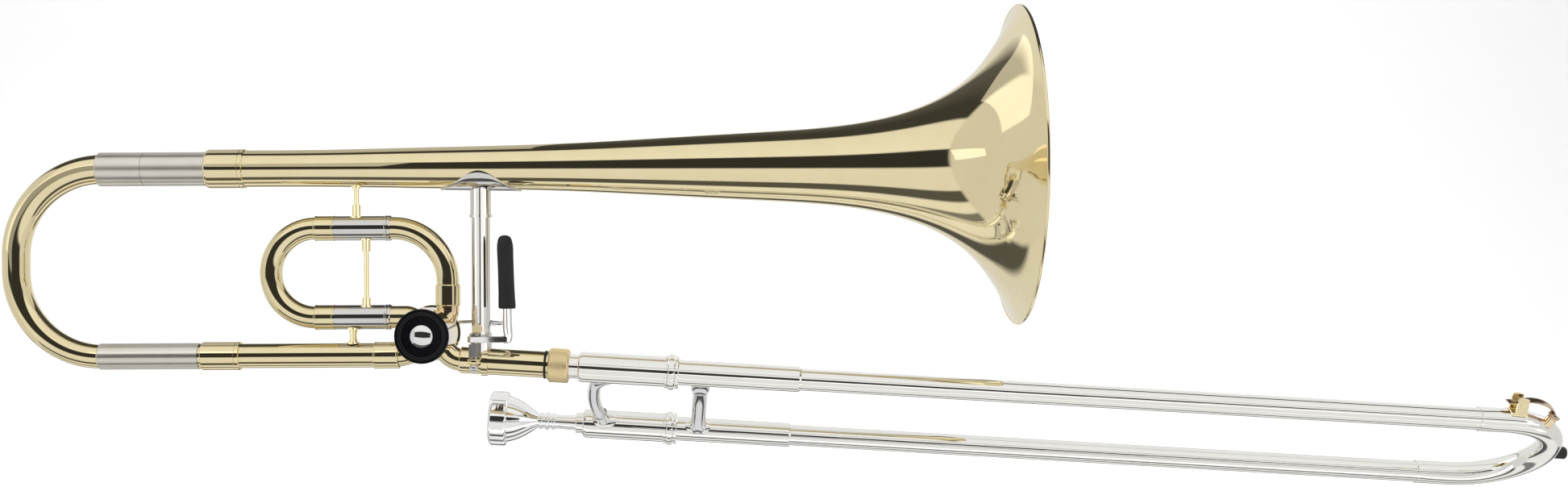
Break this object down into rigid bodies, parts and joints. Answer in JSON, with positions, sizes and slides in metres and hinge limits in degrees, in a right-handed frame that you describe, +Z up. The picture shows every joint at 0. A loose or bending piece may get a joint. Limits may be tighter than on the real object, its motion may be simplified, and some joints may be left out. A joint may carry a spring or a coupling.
{
  "type": "trombone",
  "caption": "Compact tenor trombone with a rotary valve, a thumb lever, a sliding U-shaped hand slide, tuning slides, a water key and a mouthpiece.",
  "frame": {"origin": "where the axis of the bell brace meets the axis of the hand slide, at the left hand's grip", "axes": "+X along the hand slide towards its bow and the bell's mouth; +Z up, with the bell above the slide in the XZ plane; +Y away from the side that shows the rotor cap"},
  "size_m": [1.0285, 0.205, 0.311],
  "materials": {
    "lacquered_brass": "clear lacquered yellow brass, mirror bright",
    "rose_brass": "clear lacquered rose brass",
    "nickel_silver": "polished nickel silver",
    "satin_nickel": "satin nickel silver",
    "grip_chrome": "dark polished chrome",
    "nickel_tube": "polished nickel-plated tube",
    "chromed_tube": "hard chrome, ground and polished",
    "drawn_brass": "plain drawn brass",
    "key_brass": "lacquered brass, satin edges",
    "lever_steel": "nickel-plated and lightly brushed",
    "spring_steel": "spring wire",
    "silver_trim": "polished silver-coloured trim",
    "silver_plate": "silver plate, mirror bright",
    "black_cap": "gloss black lacquer",
    "black_rubber": "moulded rubber, matt",
    "cork": "cork or synthetic cork"
  },
  "bodies": {
    "bell_section": {"bell": "lacquered_brass", "bell_rim_wire": "lacquered_brass", "section_ferrules": "lacquered_brass", "tuning_sleeve": "satin_nickel", "neck_tube": "lacquered_brass", "loop_sleeves": "nickel_silver", "loop_top_bow": "lacquered_brass", "rotor_casing": "lacquered_brass", "rotor_knuckles": "lacquered_brass", "loop_drop_knuckle": "rose_brass", "bearing_plates": "nickel_silver", "rotor_cap_rim": "nickel_silver", "rotor_cap_face": "black_cap", "rotor_cap_trim": "silver_trim", "stop_bumpers": "cork", "loop_braces": "lacquered_brass", "bell_brace_saddle": "nickel_silver", "bell_brace_sockets": "nickel_silver", "bell_brace_pillar": "nickel_silver", "brace_screw": "lacquered_brass", "slide_receiver": "lacquered_brass", "receiver_ring": "black_rubber", "lever_bracket": "lacquered_brass", "lever_post_and_nut": "lever_steel", "lever_spring": "spring_steel"},
    "main_tuning_slide": {"tuning_bow": "lacquered_brass", "tuning_bow_ferrules": "satin_nickel", "tuning_legs": "satin_nickel"},
    "valve_tuning_slide": {"valve_slide_bow": "lacquered_brass", "valve_slide_ferrules": "lacquered_brass", "valve_slide_legs": "nickel_silver"},
    "rotor": {"rotor_core": "drawn_brass", "rotor_spindle": "lever_steel", "stop_arm_and_screw": "lever_steel"},
    "thumb_lever": {"thumb_lever": "lever_steel", "lever_grip": "black_rubber"},
    "link": {"link_rod_and_screw": "lever_steel"},
    "inner_slide": {"slide_tenon": "nickel_tube", "cork_barrels": "nickel_tube", "barrel_corks": "cork", "inner_tubes": "chromed_tube", "mouthpiece_socket": "nickel_tube", "leadpipe": "drawn_brass", "inner_slide_brace": "grip_chrome"},
    "lock_nut": {"bell_lock_nut": "lacquered_brass"},
    "slide_lock": {"slide_lock_ring": "nickel_tube"},
    "outer_slide": {"outer_tubes": "nickel_tube", "outer_sleeves": "nickel_tube", "slide_bow_ferrules": "nickel_tube", "slide_bow": "nickel_tube", "outer_brace_grip": "grip_chrome", "outer_brace_pads": "nickel_tube", "bumper_cup": "nickel_tube", "bumper": "black_rubber", "drain_nipple": "rose_brass", "water_key_saddle": "key_brass", "water_key_spring": "spring_steel"},
    "water_key": {"water_key_lever": "key_brass", "water_key_cork": "cork"},
    "mouthpiece": {"mouthpiece": "silver_plate"}
  },
  "joints": [
    {"name": "main_tuning_slide", "type": "slide", "parent": "bell_section", "child": "main_tuning_slide", "axis": [-0.998, 0, -0.0628], "range_m": [0, 0.03]},
    {"name": "valve_tuning_slide", "type": "slide", "parent": "bell_section", "child": "valve_tuning_slide", "axis": [-0.998, 0, -0.0628], "range_m": [0, 0.022]},
    {"name": "thumb_lever", "type": "hinge", "parent": "bell_section", "child": "thumb_lever", "pos_m": [-0.00279, -0.014, -0.00018], "axis": [-0.0628, 0, 0.998], "range_deg": [0, 17.5], "stiffness_Nm_per_rad": 0.12, "springref_deg": -11.46},
    {"name": "rotor_turn", "type": "hinge", "parent": "bell_section", "child": "rotor", "pos_m": [-0.03463, 0, 0.01526], "axis": [0, -1, 0], "range_deg": [0, 90]},
    {"name": "link_swing", "type": "hinge", "parent": "thumb_lever", "child": "link", "pos_m": [0.00172, 0.025, 0.02355], "axis": [-0.0628, 0, 0.998], "range_deg": [-17.5, 0]},
    {"name": "slide_section_swivel", "type": "hinge", "parent": "bell_section", "child": "inner_slide", "pos_m": [0, 0, 0], "axis": [1, 0, 0], "range_deg": [-150, 30]},
    {"name": "lock_nut_turn", "type": "hinge", "parent": "inner_slide", "child": "lock_nut", "pos_m": [0.05, 0, 0], "axis": [-1, 0, 0], "range_deg": [0, 540]},
    {"name": "slide_lock_turn", "type": "hinge", "parent": "inner_slide", "child": "slide_lock", "pos_m": [0.1195, 0, 0], "axis": [1, 0, 0], "range_deg": [0, 25]},
    {"name": "hand_slide", "type": "slide", "parent": "inner_slide", "child": "outer_slide", "axis": [1, 0, 0], "range_m": [0, 0.47]},
    {"name": "water_key", "type": "hinge", "parent": "outer_slide", "child": "water_key", "pos_m": [0.6648, -0.00456, 0.01239], "axis": [0, -0.9385, -0.3453], "range_deg": [0, 10], "stiffness_Nm_per_rad": 0.02, "springref_deg": -17.19},
    {"name": "mouthpiece_pull", "type": "slide", "parent": "inner_slide", "child": "mouthpiece", "axis": [-1, 0, 0], "range_m": [0, 0.022]}
  ],
  "couplings": [
    {"joint": "rotor_turn", "follows": "thumb_lever", "ratio": 5.1428},
    {"joint": "link_swing", "follows": "thumb_lever", "ratio": -1}
  ]
}
